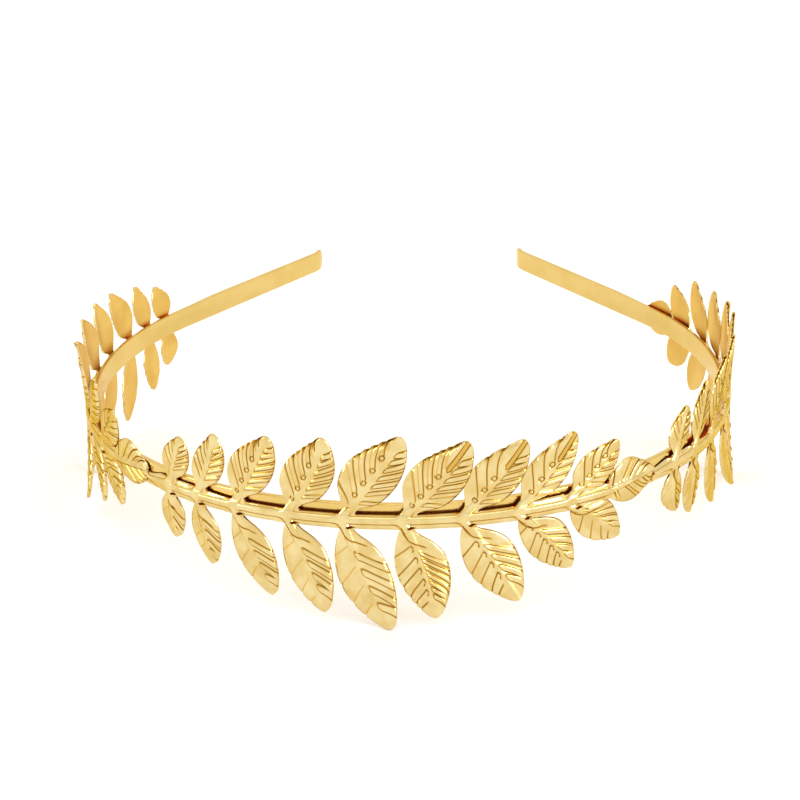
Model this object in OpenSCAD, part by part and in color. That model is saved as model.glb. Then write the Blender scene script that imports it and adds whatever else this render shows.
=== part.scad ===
// Leaf headband: a flat U-shaped strip with three stamped leaf sprays on its outer face.
// Millimetres. +Z is up, the front of the headband faces -Y and the open ends point to +Y.

/* [Band] */
// Height of the strip, measured up and down
band_h = 5; // [4:0.25:7]
// Thickness of the strip
band_t = 1; // [0.8:0.1:1.4]
// Chamfer on the long edges of the strip
band_chamfer = 0.25; // [0.1:0.05:0.3]
// Radius of the front arc, at the middle of the strip's thickness
front_r = 63; // [58:1:70]
// Angle of the front arc, from the front middle to either side
front_turn = 66; // [55:1:75]
// Radius of the arc at each side
side_r = 80; // [70:1:95]
// Angle of the arc at each side
side_turn = 54; // [45:1:60]
// Length of each straight arm behind the side arcs
arm_len = 52; // [40:1:60]
// Radius of the outward turn at the end of each arm
flare_r = 8; // [6:1:15]
// Angle of the outward turn at the end of each arm
flare_turn = 26; // [10:1:40]

/* [Sprays] */
// Distance between the starts of two neighbouring sprays, along the strip
spray_pitch = 98.5; // [96:0.5:104]
// Place of the front spray's start, along the strip from the front middle
spray_start = -49; // [-52:0.5:-46]
// Thickness of the stamped sheet
sheet_t = 0.45; // [0.35:0.05:0.6]
// How far the middle of a spray stands off the strip
stand_rise = 0.75; // [0.3:0.05:0.8]
// How far the flat sheet reaches above the middle of the stem's rib
sheet_up = 0.95; // [0.8:0.05:1.4]
// How far the flat sheet reaches below the middle of the stem's rib
sheet_down = 1.6; // [1.4:0.1:2]
// Width of the raised rib along the stem
rib_w = 1.3; // [1:0.1:1.6]
// Height of the raised rib above the flat sheet
rib_h = 0.35; // [0.2:0.05:0.5]
// Height of the rib's middle, from the middle of the strip
stem_z = -0.4; // [-0.8:0.1:0.2]

/* [Leaves] */
// How far the veins stand proud of the blade
vein_h = 0.22; // [0.1:0.02:0.3]
// Angle between the veins and the midrib
vein_angle = 45; // [38:1:55]
// Width of a leaf where it leaves the stem
neck_w = 1.6; // [1.2:0.1:2.2]
// Width of the blunt tip of a leaf
tip_w = 0.9; // [0.6:0.1:1.4]
// How far the margins of the widest leaves are rolled back from the midrib
cup = 0.5; // [0:0.1:0.8]

/* [Hidden] */

// Pairs of leaves, one row a pair from the stem's start to its end. Sizes are in mm.
// at: where the pair leaves the stem. Then for the upper and for the lower leaf: length, width,
// angle to the stem in degrees, how far the tip stands out, and the bow of the midrib.
AT = 0;
UPPER = 1;
LOWER = 6;
LENGTH = 0;
WIDTH = 1;
ANGLE = 2;
OUT = 3;
BOW = 4;
//  at | upper: length width angle out bow | lower: length width angle out bow
pairs = [
    [ 6.5,  9.5, 6,   70,  0,   0,    8.5, 6,   86,  0,  -0.5],
    [13.5, 12,   6,   70,  0,   0.5, 12,   6,   84, -1,   0],
    [21.5, 14.5, 7.5, 62,  0.5, 0,   16,   7,   68, -0.5, 0],
    [31.5, 15,   8,   65,  0.5, 0.5, 16.5, 7.5, 68,  2,   0],
    [41,   17,   8.5, 56,  0.5, 0,   19.5, 8.5, 68,  2,  -0.5],
    [51,   16.5, 8.5, 52,  1,   0.5, 17,   8.5, 74,  1.5, 0.5],
    [61,   15.5, 8,   52,  1,   0.5, 16.5, 8.5, 60,  2,   0.25],
    [70.5, 15,   7,   52,  0.5, 0.5, 14,   7.5, 50,  0.5, 0.5],
    [80,   12,   7,   44,  0.5, 0.5, 12,   7.5, 38,  0.5, 0.5]
];
// The end leaf lies along the strip, its tip a little high
end_leaf_at = 87;
end_leaf = [11.5, 8, 6, 0.5, 0];
// How far above the rib an upper leaf's midrib starts, and how far below it a lower one's
upper_root = 1.1;
lower_root = 1.3;

// Height of the strip's middle, and the front middle of the strip
band_z = 19.95;
front_y = -78.45;

// A spray nearly touches the strip at its two ends, by joint_gap, and bows off it in between.
// The lower stand_bow, the sooner it reaches its full rise.
joint_gap = 0.15;
stand_bow = 0.4;

stem_len = end_leaf_at + 3;

// The strip from its front middle to one end: a row for each stretch of one curvature.
// len: length in mm. turn: how far it turns, in degrees. parts: sections along it.
LEN = 0;
TURN = 1;
PARTS = 2;
//  len | turn | parts
stretches = [
    [front_r * front_turn * PI / 180, front_turn, 12],
    [side_r * side_turn * PI / 180, side_turn, 11],
    [arm_len, 0, 1],
    [flare_r * flare_turn * PI / 180, -flare_turn, 3],
    [band_h / 2, 0, 1]
];
// The sections of the rounded ends, by the angle round the end
end_angles = [20, 40, 60, 80];

// Shape of a margin, a row for each side of an upper leaf and then of a lower one. The heel side of
// a leaf faces the stem's start, and the toe side faces its end.
// widest: the lower, the nearer to the stem it is widest. full: the lower, the fuller it is.
// part: its own part of half of the leaf's width.
WIDEST = 0;
FULL = 1;
PART = 2;
//  widest | full | part
margins = [
    [0.8,  1,   1.1],
    [1.05, 0.7, 1],
    [0.95, 0.8, 1.05],
    [0.9,  0.7, 1]
];
// How late the tip leans out
lean = 1.6;
// Width of the leaves that are rolled back by all of cup
full_width = 8;
// How much lower the midrib is at the tip
midrib_fade = 0.6;
// Distance between two veins of a blade, how far down the blade they slope the most, and the
// vertices across a blade
vein_pitch = 3.4;
vein_skew = 0.8;
blade_across = [-1, -0.5, 0, 0.5, 1];
back_across = [-1, 0, 1];
// Distance between the stem's sections, and how narrow the stem is at its very start
stem_step = 4.6;
stem_taper = 0.45;

// Webs: how much thinner than the sheet on each face, and how far before a leaf they start
web_sunk = 0.08;
upper_web = 1.8;
lower_web = 1;
// How far a web runs past the leaf's start, inside the stem's edge, and along and across the leaf
web_overlap = 1;
web_inset = 0.5;
web_along = 0.24;
web_across = -0.55;
web_corner_r = 0.45;

// Moves on from the pose [x, y, heading] by a share of one stretch
function move(pose, stretch, share) =
    let (h = pose[2] + stretch[TURN] * share, r = stretch[LEN] / (stretch[TURN] * PI / 180))
    stretch[TURN] == 0
        ? [pose[0] + stretch[LEN] * share * cos(h), pose[1] + stretch[LEN] * share * sin(h), h]
        : [pose[0] + r * (sin(h) - sin(pose[2])), pose[1] + r * (cos(pose[2]) - cos(h)), h];

// The pose at the length s from the front middle, found stretch by stretch
function pose_at(s, i = 0, pose = [0, 0, 0]) =
    s <= stretches[i][LEN] || i == len(stretches) - 1
        ? move(pose, stretches[i], s / stretches[i][LEN])
        : pose_at(s - stretches[i][LEN], i + 1, move(pose, stretches[i], 1));
function heading(s) = sign(s) * pose_at(abs(s))[2];

// A point in space from the length along the strip, the distance outside it and the height.
// s is negative on the left.
function on_band(s, out, z) =
    let (pose = pose_at(abs(s)), side = s < 0 ? -1 : 1)
    [
        side * (pose[0] + out * sin(pose[2])),
        front_y + pose[1] - out * cos(pose[2]),
        band_z + z
    ];

// A point on a spray: x along its stem, y above the rib's middle, and lift from the sheet's back
function on_spray(start, x, y, lift) =
    let (stand_off = joint_gap + stand_rise * pow(max(0, sin(180 * x / spray_pitch)), stand_bow))
    on_band(start + x, band_t / 2 + stand_off + lift, stem_z + y);

// Half the width of a blade on the side of v, at u, where u runs from 0 at the stem to 1 at the tip.
// v is negative on the heel side and positive on the toe side.
function half_width(u, v, side, width) =
    let (
        end = (neck_w * (1 - u) + tip_w * u) / 2,
        margin = margins[(side == 1 ? 0 : 2) + (v > 0 ? 1 : 0)]
    )
    end + (width / 2 * margin[PART] - end) * pow(max(0, sin(180 * pow(u, margin[WIDEST]))), margin[FULL]);

// The veins slope towards the tip, so a row that leaves the midrib at u meets the margin further on
function row_u(u, v, leaf) =
    u + abs(v) * leaf[WIDTH] / 2 / leaf[LENGTH] / tan(vein_angle) * sin(180 * pow(u, vein_skew));

// How far the blade stands out at u: the tip's lean, and the rolled back margins
function blade_out(u, v, leaf) =
    leaf[OUT] * pow(u, lean) - cup * v * v * leaf[WIDTH] / full_width * u * sin(180 * u);

// Rows of vertices along a blade: two to a vein
function blade_rows(leaf) = 2 * round(leaf[LENGTH] / vein_pitch);

// A vertex of a blade. side is 1 above the stem and -1 below it, lift is from the sheet's back.
function blade_point(start, at, root, side, leaf, row, v, lift) =
    let (
        u = row_u(row / blade_rows(leaf), v, leaf),
        t = u * leaf[LENGTH],
        w = v * half_width(u, v, side, leaf[WIDTH]) + leaf[BOW] * 4 * u * (1 - u)
    )
    on_spray(
        start,
        at + t * cos(leaf[ANGLE]) + w * sin(leaf[ANGLE]),
        side * (root + t * sin(leaf[ANGLE]) - w * cos(leaf[ANGLE])),
        lift + blade_out(u, v, leaf)
    );

// The front of a blade: a raised midrib, and veins that are raised on every other row
function relief(row, v, rows) =
    v == 0 ? rib_h * (1 - midrib_fade * row / rows)
    : abs(v) == 1 || row == 0 || row == rows ? 0
    : row % 2 == 0 ? vein_h : 0;

// Two triangles for each cell of a grid that is n points wide, from point number first
function grid_faces(first, rows, n, turned) = [
    for (r = [0 : rows - 1], k = [0 : n - 2])
        let (p = first + r * n + k, q = p + n)
        each (turned ? [[p, q + 1, p + 1], [p, q, q + 1]] : [[p, p + 1, q + 1], [p, q + 1, q]])
];

module blade(start, at, root, side, leaf) {
    rows = blade_rows(leaf);
    nf = len(blade_across);
    nb = len(back_across);
    back_first = (rows + 1) * nf;
    front = [
        for (r = [0 : rows], v = blade_across)
            blade_point(start, at, root, side, leaf, r, v, sheet_t + relief(r, v, rows))
    ];
    back = [
        for (r = [0 : rows], v = back_across) blade_point(start, at, root, side, leaf, r, v, 0)
    ];
    rim = [
        for (r = [0 : rows - 1], toe = [0, 1])
            let (
                f = r * nf + toe * (nf - 1),
                b = back_first + r * nb + toe * (nb - 1)
            )
            each (toe == 1 ? [[f, b + nb, b], [f, f + nf, b + nb]] : [[f, b, b + nb], [f, b + nb, f + nf]])
    ];
    last = rows * nf;
    last_back = back_first + rows * nb;
    caps = [
        for (half = [0, 1])
            let (f = half * 2, b = back_first + half)
            each [[f, f + 1, b], [f + 1, f + 2, b + 1], [f + 1, b + 1, b]],
        for (half = [0, 1])
            let (f = last + half * 2, b = last_back + half)
            each [[f, b, f + 1], [f + 1, b + 1, f + 2], [f + 1, b, b + 1]]
    ];
    faces = concat(grid_faces(0, rows, nf, true), grid_faces(back_first, rows, nb, false), rim, caps);
    polyhedron(
        points = concat(front, back),
        faces = side == 1 ? faces : [for (f = faces) [f[2], f[1], f[0]]]
    );
}

// A small square of sheet, so that webs can be spanned between them
module sheet_bit(start, x, y) {
    translate(on_spray(start, x, y, web_sunk))
        rotate([90, 0, heading(start + x)])
            cylinder(r = web_corner_r, h = sheet_t - 2 * web_sunk, $fn = 4);
}

// The web between the stem and a leaf, on the side that faces the stem's start
module web(start, at, root, side, leaf) {
    edge = (side == 1 ? sheet_up : sheet_down) - web_inset;
    reach = web_along * leaf[LENGTH];
    margin = web_across * half_width(web_along, web_across, side, leaf[WIDTH]);
    hull() {
        sheet_bit(start, at - (side == 1 ? upper_web : lower_web), side * edge);
        sheet_bit(start, at + web_overlap, side * edge);
        sheet_bit(
            start,
            at + reach * cos(leaf[ANGLE]) + margin * sin(leaf[ANGLE]),
            side * (root + reach * sin(leaf[ANGLE]) - margin * cos(leaf[ANGLE]))
        );
    }
}

// The stem: flat sheet with a rib, a section every few millimetres along the strip
stem_section = [
    [-sheet_down, 0],
    [sheet_up, 0],
    [sheet_up, sheet_t],
    [rib_w / 2, sheet_t],
    [rib_w / 3, sheet_t + rib_h],
    [-rib_w / 3, sheet_t + rib_h],
    [-rib_w / 2, sheet_t],
    [-sheet_down, sheet_t]
];

// Side and end faces of a rod of n-sided sections, from its first section to section number last
function rod_faces(n, last) = concat(
    [
        for (i = [0 : last - 1], k = [0 : n - 1])
            let (p = i * n + k, q = i * n + (k + 1) % n)
            each [[p, q + n, q], [p, p + n, q + n]]
    ],
    [
        [for (k = [0 : n - 1]) k],
        [for (k = [n - 1 : -1 : 0]) last * n + k]
    ]
);

module stem(start) {
    stations = ceil(stem_len / stem_step);
    points = [
        for (i = [0 : stations], p = stem_section)
            on_spray(start, stem_len * i / stations, p[0] * (i == 0 ? stem_taper : 1), p[1])
    ];
    polyhedron(points = points, faces = rod_faces(len(stem_section), stations));
}

function leaf_of(pair, first) = [for (k = [LENGTH : BOW]) pair[first + k]];

module leaf_with_web(start, at, root, side, leaf) {
    blade(start, at, root, side, leaf);
    web(start, at, root, side, leaf);
}

module spray(start) {
    stem(start);
    for (pair = pairs) {
        leaf_with_web(start, pair[AT], upper_root, 1, leaf_of(pair, UPPER));
        leaf_with_web(start, pair[AT], lower_root, -1, leaf_of(pair, LOWER));
    }
    blade(start, end_leaf_at, 0, 1, end_leaf);
}

// Section of the strip as [up, out] from its middle, with its height times share
function band_section(share) =
    let (
        high = band_h / 2 * share,
        edge = max(high - band_chamfer, high / 2),
        wide = band_t / 2,
        flat = wide - band_chamfer
    )
    [
        [-edge, -wide],
        [edge, -wide],
        [high, -flat],
        [high, flat],
        [edge, wide],
        [-edge, wide],
        [-high, flat],
        [-high, -flat]
    ];

// Lengths from the front middle to the end of each stretch
function length_to(i) = i == 0 ? 0 : length_to(i - 1) + stretches[i - 1][LEN];

// Sections from the front middle to one end, as [length, share of the height]
half_stations = concat(
    [
        for (i = [0 : len(stretches) - 2], k = [0 : stretches[i][PARTS] - 1])
            [length_to(i) + stretches[i][LEN] * k / stretches[i][PARTS], 1]
    ],
    [[length_to(len(stretches) - 1), 1]],
    [for (a = end_angles) [length_to(len(stretches) - 1) + band_h / 2 * sin(a), cos(a)]]
);

module band() {
    color("#EFC76F") {
        last = len(half_stations) - 1;
        stations = [
            for (i = [last : -1 : 1]) [-half_stations[i][0], half_stations[i][1]],
            each half_stations
        ];
        points = [for (st = stations, p = band_section(st[1])) on_band(st[0], p[1], p[0])];
        polyhedron(points = points, faces = rod_faces(len(band_section(1)), 2 * last));
    }
}

module left_spray() {
    color("#F3D58A")
        spray(spray_start - spray_pitch);
}

module front_spray() {
    color("#F3D58A")
        spray(spray_start);
}

module right_spray() {
    color("#F3D58A")
        spray(spray_start + spray_pitch);
}

band();
left_spray();
front_spray();
right_spray();
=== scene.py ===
# %% [markdown]
# # Leaf headband
# This script dresses the plain CAD model of a gold-plated leaf headband for a studio picture.
# The real one is a flat springy strip bent to a U. Three stamped sprays of leaves are fixed end
# to end on its outer face. The CAD model gives the true sizes, so every new piece here repeats
# them, in millimetres, and is moved into metres when it is bent to its place.

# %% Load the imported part
import math
from collections import namedtuple

import bmesh
import bpy
from mathutils import Matrix, Vector


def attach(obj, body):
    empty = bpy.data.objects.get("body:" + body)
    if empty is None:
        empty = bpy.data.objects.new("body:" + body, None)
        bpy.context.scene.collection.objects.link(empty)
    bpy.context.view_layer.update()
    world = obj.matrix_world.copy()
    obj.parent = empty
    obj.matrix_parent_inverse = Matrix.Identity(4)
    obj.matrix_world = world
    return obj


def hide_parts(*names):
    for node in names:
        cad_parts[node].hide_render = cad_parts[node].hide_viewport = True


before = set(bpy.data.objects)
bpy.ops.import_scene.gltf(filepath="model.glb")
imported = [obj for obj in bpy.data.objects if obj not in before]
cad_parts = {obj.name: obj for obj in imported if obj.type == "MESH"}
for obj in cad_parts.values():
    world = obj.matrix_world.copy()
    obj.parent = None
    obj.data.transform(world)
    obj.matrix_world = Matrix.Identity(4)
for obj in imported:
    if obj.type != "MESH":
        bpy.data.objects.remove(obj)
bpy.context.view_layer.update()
print("CAD nodes:", sorted(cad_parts))

# %% [markdown]
# ## The camera
# The camera comes first, because it decides how fine each piece has to be. It looks down on the
# headband at about 21 degrees, from a little to the right of the front, and leans by one degree.
# A camera's own axes are the columns of its matrix: right, up and back, so the script builds them
# from the view's angles instead of turning the camera by hand.

# %% Place the camera
MM = 0.001
VIEW_AZIMUTH, VIEW_ELEVATION, VIEW_ROLL = 2.609, 21.058, -1.19
VIEW_DISTANCE = 299.3
VIEW_TARGET = Vector((-1.04, -25.08, 19.95))
FOCAL_MM, SENSOR_MM = 67.0, 36.0
NEAR_M, FAR_M = 0.01, 20

azimuth, elevation, roll = (math.radians(a) for a in (VIEW_AZIMUTH, VIEW_ELEVATION, VIEW_ROLL))
level = math.cos(elevation)
back = Vector((math.sin(azimuth) * level, -math.cos(azimuth) * level, math.sin(elevation)))
level_right = (-back).cross(Vector((0, 0, 1))).normalized()
level_up = level_right.cross(-back)
right = level_right * math.cos(roll) + level_up * math.sin(roll)
up = level_up * math.cos(roll) - level_right * math.sin(roll)

camera_data = bpy.data.cameras.new("camera")
camera_data.lens = FOCAL_MM
camera_data.sensor_width = SENSOR_MM
camera_data.clip_start, camera_data.clip_end = NEAR_M, FAR_M
camera = bpy.data.objects.new("camera", camera_data)
bpy.context.scene.collection.objects.link(camera)
turned = Matrix((right, up, back)).transposed().to_4x4()
camera.matrix_world = Matrix.Translation((VIEW_TARGET + back * VIEW_DISTANCE) * MM) @ turned
bpy.context.scene.camera = camera
print("camera at", tuple(round(c / MM, 1) for c in camera.matrix_world.translation), "mm")

# %% [markdown]
# ## The line of the strip
# Seen from above, half of the strip is an arc at the front, a wider arc at the side, a straight
# arm and a short outward turn at the end. Everything is made flat first and then bent along this
# line, as in the workshop, where strip and sprays are stamped flat and rolled to the curve.

# %% List the stretches of the strip
BAND_H, BAND_T = 5, 1
FRONT_R, FRONT_TURN = 63, 66
SIDE_R, SIDE_TURN = 80, 54
ARM_LEN = 52
FLARE_R, FLARE_TURN = 8, 26

Stretch = namedtuple("Stretch", "length turn")
STRETCHES = [
    Stretch(math.radians(FRONT_TURN) * FRONT_R, FRONT_TURN),
    Stretch(math.radians(SIDE_TURN) * SIDE_R, SIDE_TURN),
    Stretch(ARM_LEN, 0),
    Stretch(math.radians(FLARE_TURN) * FLARE_R, -FLARE_TURN),
    Stretch(BAND_H / 2, 0),
]
HALF_LENGTH = sum(stretch.length for stretch in STRETCHES)
print("the strip is", round(2 * HALF_LENGTH, 1), "mm long")

# %% [markdown]
# Walking along the stretches gives the place and the heading at any length. The left half is the
# mirror image of the right half. A point of a flat piece then has three numbers: how far along
# the strip it lies, how far outside the strip, and how high.

# %% Walk along the strip
BAND_Z, FRONT_Y = 19.95, -78.45


def pose_at(s):
    """Place and heading at the length s from the front middle, on the right-hand half."""
    x, y, heading = 0.0, 0.0, 0.0
    for stretch in STRETCHES:
        done = min(s, stretch.length)
        turn = math.radians(stretch.turn) * done / stretch.length
        if stretch.turn:
            radius = done / turn if turn else 0
            x += radius * (math.sin(heading + turn) - math.sin(heading))
            y += radius * (math.cos(heading) - math.cos(heading + turn))
        else:
            x += done * math.cos(heading)
            y += done * math.sin(heading)
        heading += turn
        s -= done
        if s <= 0:
            break
    return x, y, heading


def on_strip(s, out, z):
    """A point in metres: s along the strip, out beyond its middle line, z over its middle."""
    x, y, heading = pose_at(abs(s))
    side = -1 if s < 0 else 1
    x = side * (x + out * math.sin(heading))
    return Vector((x, FRONT_Y + y - out * math.cos(heading), BAND_Z + z)) * MM


print("the strip ends at", tuple(round(c / MM, 1) for c in on_strip(HALF_LENGTH, 0, 0)), "mm")

# %% [markdown]
# ## Three helpers
# An S-curve eases one shape into another and is used all through the script. The two others
# round edges and turn a finished bmesh into an object. The bevel operator's defaults differ from
# the editor's, so all of its settings are given.

# %% Define the helpers
def smooth(x):
    """0 below 0, 1 above 1, and an S-curve between."""
    x = min(max(x, 0.0), 1.0)
    return x * x * (3 - 2 * x)


def bevel(bm, edges, width, segments):
    bmesh.ops.bevel(
        bm, geom=edges, offset=width, offset_type="OFFSET", segments=segments, profile=0.5,
        affect="EDGES", material=-1, clamp_overlap=True
    )


def finish_piece(bm, name):
    """Turns a bmesh into an object at the origin, with smooth shading."""
    mesh = bpy.data.meshes.new(name)
    bm.to_mesh(mesh)
    bm.free()
    piece = bpy.data.objects.new(name, mesh)
    bpy.context.scene.collection.objects.link(piece)
    mesh.shade_smooth()
    return piece


print("a quarter of the way along, the S-curve is at", smooth(0.25))

# %% [markdown]
# ## The strip
# The real strip is spring steel, 5 mm by 1 mm, with rounded ends and softly rolled edges. A cube
# scaled to that size gets its four level end edges bevelled by just under half the height, which
# makes the round ends. Cuts across it give it sections to bend at, and a fine bevel rolls its
# long edges. Between the two arms its upper edge is a little lower, which the last loop sees to.

# %% Make the strip flat, then bend it
END_BEVEL, END_SEGMENTS = BAND_H / 2 - 0.01, 10
EDGE_ROLL, EDGE_SEGMENTS = 0.25, 3
RIM_ANGLE = math.radians(60)
SECTION_STEP = 1.5
ON_CUT, TOUCHING = 0.001, 0.0005
# How much lower the upper edge is, up to how far from the middle, and over what length it rises
NARROWING, NARROW_TO, NARROW_EASE = 0.4, 160, 15


def everything(bm):
    return bm.verts[:] + bm.edges[:] + bm.faces[:]


def make_strip():
    bm = bmesh.new()
    bmesh.ops.create_cube(bm, size=1)
    bmesh.ops.scale(bm, vec=(2 * HALF_LENGTH, BAND_T, BAND_H), verts=bm.verts)
    through = [e for e in bm.edges if abs(e.verts[0].co.y - e.verts[1].co.y) > BAND_T / 2]
    bevel(bm, through, END_BEVEL, END_SEGMENTS)
    cuts = int(2 * (HALF_LENGTH - BAND_H / 2) / SECTION_STEP)
    for i in range(cuts + 1):
        s = (HALF_LENGTH - BAND_H / 2) * (2 * i / cuts - 1)
        bmesh.ops.bisect_plane(
            bm, geom=everything(bm), plane_co=(s, 0, 0), plane_no=(1, 0, 0), dist=ON_CUT
        )
    rim = [e for e in bm.edges if len(e.link_faces) == 2 and e.calc_face_angle() > RIM_ANGLE]
    bevel(bm, rim, EDGE_ROLL, EDGE_SEGMENTS)
    bmesh.ops.remove_doubles(bm, verts=bm.verts, dist=TOUCHING)
    for v in bm.verts:
        behind_sprays = smooth((NARROW_TO - abs(v.co.x)) / NARROW_EASE)
        lowered = NARROWING * behind_sprays * (v.co.z / BAND_H + 0.5)
        v.co = on_strip(v.co.x, -v.co.y, v.co.z - lowered)
    bmesh.ops.recalc_face_normals(bm, faces=bm.faces)
    return finish_piece(bm, "gold_strip")


strip = make_strip()
print("strip:", len(strip.data.polygons), "faces")

# %% [markdown]
# ## The leaves
# A spray has nine pairs of leaves and an end leaf, all different. The table below holds the same
# round sizes as the CAD model, one row for each pair. The upper leaves stand at 44 to 70 degrees
# to the stem, and most of the lower ones hang more steeply. A leaf's root is how far from the
# stem's middle its midrib starts, bow is how far the midrib curves sideways, and out is how
# far the tip leans away from the head.

# %% List the leaves
Leaf = namedtuple("Leaf", "kind at side root length width angle out bow")
UPPER_ROOT, LOWER_ROOT = 1.1, 1.3

# at | upper: length, width, angle, out, bow | lower: length, width, angle, out, bow
PAIRS = [
    (6.5, (9.5, 6, 70, 0, 0), (8.5, 6, 86, 0, -0.5)),
    (13.5, (12, 6, 70, 0, 0.5), (12, 6, 84, -1, 0)),
    (21.5, (14.5, 7.5, 62, 0.5, 0), (16, 7, 68, -0.5, 0)),
    (31.5, (15, 8, 65, 0.5, 0.5), (16.5, 7.5, 68, 2, 0)),
    (41, (17, 8.5, 56, 0.5, 0), (19.5, 8.5, 68, 2, -0.5)),
    (51, (16.5, 8.5, 52, 1, 0.5), (17, 8.5, 74, 1.5, 0.5)),
    (61, (15.5, 8, 52, 1, 0.5), (16.5, 8.5, 60, 2, 0.25)),
    (70.5, (15, 7, 52, 0.5, 0.5), (14, 7.5, 50, 0.5, 0.5)),
    (80, (12, 7, 44, 0.5, 0.5), (12, 7.5, 38, 0.5, 0.5)),
]
END_LEAF_AT = 87
UPPER_LEAVES = [Leaf("upper", at, 1, UPPER_ROOT, *upper) for at, upper, lower in PAIRS]
LOWER_LEAVES = [Leaf("lower", at, -1, LOWER_ROOT, *lower) for at, upper, lower in PAIRS]
END_LEAF = Leaf("end", END_LEAF_AT, 1, 0, 11.5, 8, 6, 0.1, 0)
LEAVES = UPPER_LEAVES + LOWER_LEAVES + [END_LEAF]
LONGEST = max(LEAVES, key=lambda leaf: leaf.length)
print(len(LEAVES), "leaves on a spray, the longest of", LONGEST.length, "mm")

# %% [markdown]
# ## The outline of a leaf
# A leaf has two margins that are not alike. Its heel side faces the stem's start, and its toe
# side faces the stem's tip. Both swell to their widest a little below the middle and close in to
# a blunt tip. A sine wave with two powers gives such a swell from very few numbers.

# %% Shape the margins
NECK_W, TIP_W = 1.6, 0.9

# widest: the lower, the nearer to the stem. full: the lower, the fuller. part: of half the width.
# neck and neck_share: how much slimmer a margin starts, and where it has its own width.
Margin = namedtuple("Margin", "widest full part neck neck_share")
UPPER_HEEL = Margin(0.8, 1, 1.1, 0.6, 0.25)
UPPER_TOE = Margin(1.05, 0.7, 1, 0.45, 0.3)
LOWER_HEEL = Margin(0.95, 0.8, 1.05, 1, 1)
LOWER_TOE = Margin(0.9, 0.7, 1, 0.7, 0.22)
MARGINS = {
    "upper": (UPPER_HEEL, UPPER_TOE),
    "lower": (LOWER_HEEL, LOWER_TOE),
    "end": (UPPER_HEEL._replace(neck=1), UPPER_TOE._replace(neck=1)),
}


def mix(a, b, share):
    return a + (b - a) * share


def half_width(leaf, share, across):
    """Half the width of a leaf on one side, at a share of its length."""
    share = min(share, 1)
    margin = MARGINS[leaf.kind][0 if across < 0 else 1]
    end = mix(NECK_W, TIP_W, share) / 2
    swell = max(0.0, math.sin(math.pi * share**margin.widest)) ** margin.full
    width = end + (leaf.width / 2 * margin.part - end) * swell
    return max(end, width * mix(margin.neck, 1, smooth(share / margin.neck_share)))


print("the longest leaf's half width midway:", round(half_width(LONGEST, 0.5, -1), 2), "mm")

# %% [markdown]
# A leaf has its own coordinates: t runs along its midrib from the stem, and w across it, below
# zero on the heel side. The flat spray has x along the stem and y above the middle of its rib.
# Two small functions turn one into the other, so each shape is drawn where it is simplest.

# %% Turn between a leaf's coordinates and the spray's
def to_flat(leaf, t, w):
    """From a leaf's own coordinates to the flat spray's."""
    angle = math.radians(leaf.angle)
    x = leaf.at + t * math.cos(angle) + w * math.sin(angle)
    y = leaf.side * (leaf.root + t * math.sin(angle) - w * math.cos(angle))
    return x, y


def to_leaf(leaf, x, y):
    """From the flat spray's coordinates to a leaf's own."""
    angle = math.radians(leaf.angle)
    dx, dy = x - leaf.at, leaf.side * y - leaf.root
    return dx * math.cos(angle) + dy * math.sin(angle), dx * math.sin(angle) - dy * math.cos(angle)


print("the longest leaf's tip is at y =", round(to_flat(LONGEST, LONGEST.length, 0)[1], 1), "mm")

# %% [markdown]
# ## The pattern of the sheet
# The stem's sheet is a narrow ribbon, a little wider on its upper side near the spray's two ends.
# Every leaf starts on one of its edges, on a foot of about 3.5 mm, and the end leaf on its end.
# The columns of a grid lie closer together near the midrib, where the veins have their finest
# ends.

# %% Lay out the stem's sheet and the feet
SHEET_UP, WIDE_UP, SHEET_DOWN = 0.95, 1.5, 1.6
# Where the upper edge starts to come down from WIDE_UP, where it starts to rise again, and the
# length that either takes
WIDE_TO, WIDE_FROM, WIDE_EASE = 12, 68, 8
# How far a foot reaches along the stem, before and after the place where its midrib starts
FEET = {"upper": (1.9, 1.8), "lower": (2.2, 1.2)}
MIDRIB_CROWDING = 0.3


def across_at(column):
    """From a column's share of the grid, 0 to 1, to its place across the leaf, -1 to 1."""
    even = 2 * column - 1
    return mix(even, even**3, MIDRIB_CROWDING)


def wide_share(x):
    """1 where the sheet is wide, near the spray's ends, and 0 in between."""
    return 1 - smooth((x - WIDE_TO) / WIDE_EASE) + smooth((x - WIDE_FROM) / WIDE_EASE)


def sheet_up(x):
    """Height of the sheet's upper margin above the rib's middle."""
    return mix(SHEET_UP, WIDE_UP, wide_share(x))


def foot(leaf, across):
    """Where a column of a leaf starts on the edge of the stem, across running from -1 to 1."""
    if leaf.kind == "end":
        return leaf.at, mix(sheet_up(leaf.at), -SHEET_DOWN, (across + 1) / 2)
    before, after = FEET[leaf.kind]
    x = leaf.at + mix(-before, after, (across + 1) / 2)
    return x, sheet_up(x) if leaf.side == 1 else -SHEET_DOWN


print("the stem's sheet is", SHEET_DOWN + SHEET_UP, "to", SHEET_DOWN + WIDE_UP, "mm high")

# %% [markdown]
# The rows of a leaf's grid slant forward from the midrib like its side veins, so a vein is a row
# of vertices and stays crisp. The first row is the foot, and a few close rows lead from there to
# the leaf's own outline. Near the stem and near the tip the rows have less slant, so that they
# neither cross the foot nor run past the tip.

# %% Slant the rows of a leaf
ROW_STEP = 0.17
NECK_ROWS, NECK_PART = 12, 0.045
# Share of a leaf's length over which its two margins leave the foot: heel side and toe side
NECKS = {"upper": (0.02, 0.06), "lower": (0.02, 0.2), "end": (0.02, 0.045)}
# Angle between the side veins and the midrib, in degrees
HEEL_VEINS = {"upper": 35, "lower": 50, "end": 45}
TOE_VEINS = {"upper": 49, "lower": 43, "end": 45}
# The most by which a margin may lead its row, as a share of the leaf's length
MOST_SLANT = 0.39
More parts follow.
